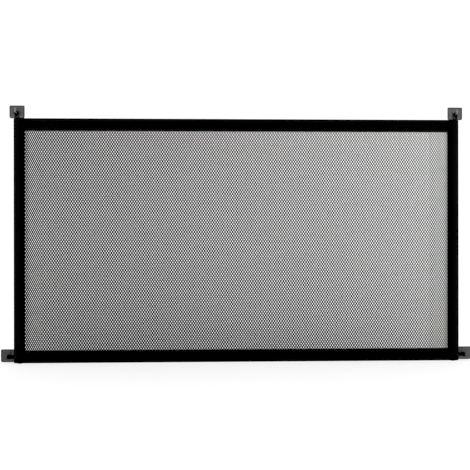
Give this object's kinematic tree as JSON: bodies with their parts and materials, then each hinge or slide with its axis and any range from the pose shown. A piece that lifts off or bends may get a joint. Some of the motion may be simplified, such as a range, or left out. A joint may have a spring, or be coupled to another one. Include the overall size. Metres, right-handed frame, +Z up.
{
  "type": "fireplace screen",
  "caption": "Rectangular mesh fireplace screen bound in a black fabric hem, with sleeved poles at the sides and elastic corner loops on stick-on wall hooks.",
  "frame": {"origin": "middle of the screen's bottom edge, in the plane of the net", "axes": "+X to the right as seen from the room, +Y back towards the wall, +Z up"},
  "size_m": [1.1684, 0.0175, 0.6327],
  "materials": {
    "net": "charcoal knitted net with open diamond holes",
    "binding": "black woven polyester binding, top-stitched",
    "elastic": "black braided elastic cord",
    "pole": "black extruded plastic tube",
    "joiner": "black moulded plastic",
    "plug": "black rubber",
    "hook": "smoke grey moulded plastic, glossy",
    "pad": "pale grey adhesive foam"
  },
  "bodies": {
    "wall_hooks": {"hook_top_left": "hook", "hook_bottom_left": "hook", "hook_top_right": "hook", "hook_bottom_right": "hook", "pad_top_left": "pad", "pad_bottom_left": "pad", "pad_top_right": "pad", "pad_bottom_right": "pad"},
    "screen_panel": {"mesh_panel": "net", "top_hem": "binding", "bottom_hem": "binding", "left_hem": "binding", "right_hem": "binding", "loop_top_left": "elastic", "loop_bottom_left": "elastic", "loop_top_right": "elastic", "loop_bottom_right": "elastic"},
    "left_pole_lower": {"left_pole_lower_tube": "pole", "left_pole_joiner": "joiner", "left_pole_bottom_plug": "plug"},
    "left_pole_upper": {"left_pole_upper_tube": "pole", "left_pole_top_plug": "plug"},
    "right_pole_lower": {"right_pole_lower_tube": "pole", "right_pole_joiner": "joiner", "right_pole_bottom_plug": "plug"},
    "right_pole_upper": {"right_pole_upper_tube": "pole", "right_pole_top_plug": "plug"}
  },
  "joints": [
    {"name": "panel_swing", "type": "hinge", "parent": "wall_hooks", "child": "screen_panel", "pos_m": [-0.55, 0, 0], "axis": [0, 0, -1], "range_deg": [0, 120], "deforming": ["loop_top_left", "loop_bottom_left", "loop_top_right", "loop_bottom_right"]},
    {"name": "left_pole_lift", "type": "slide", "parent": "screen_panel", "child": "left_pole_lower", "axis": [0, 0, 1], "range_m": [0, 0.61]},
    {"name": "left_pole_part", "type": "slide", "parent": "left_pole_lower", "child": "left_pole_upper", "axis": [0, 0, 1], "range_m": [0, 0.05]},
    {"name": "right_pole_lift", "type": "slide", "parent": "screen_panel", "child": "right_pole_lower", "axis": [0, 0, 1], "range_m": [0, 0.61]},
    {"name": "right_pole_part", "type": "slide", "parent": "right_pole_lower", "child": "right_pole_upper", "axis": [0, 0, 1], "range_m": [0, 0.05]}
  ]
}
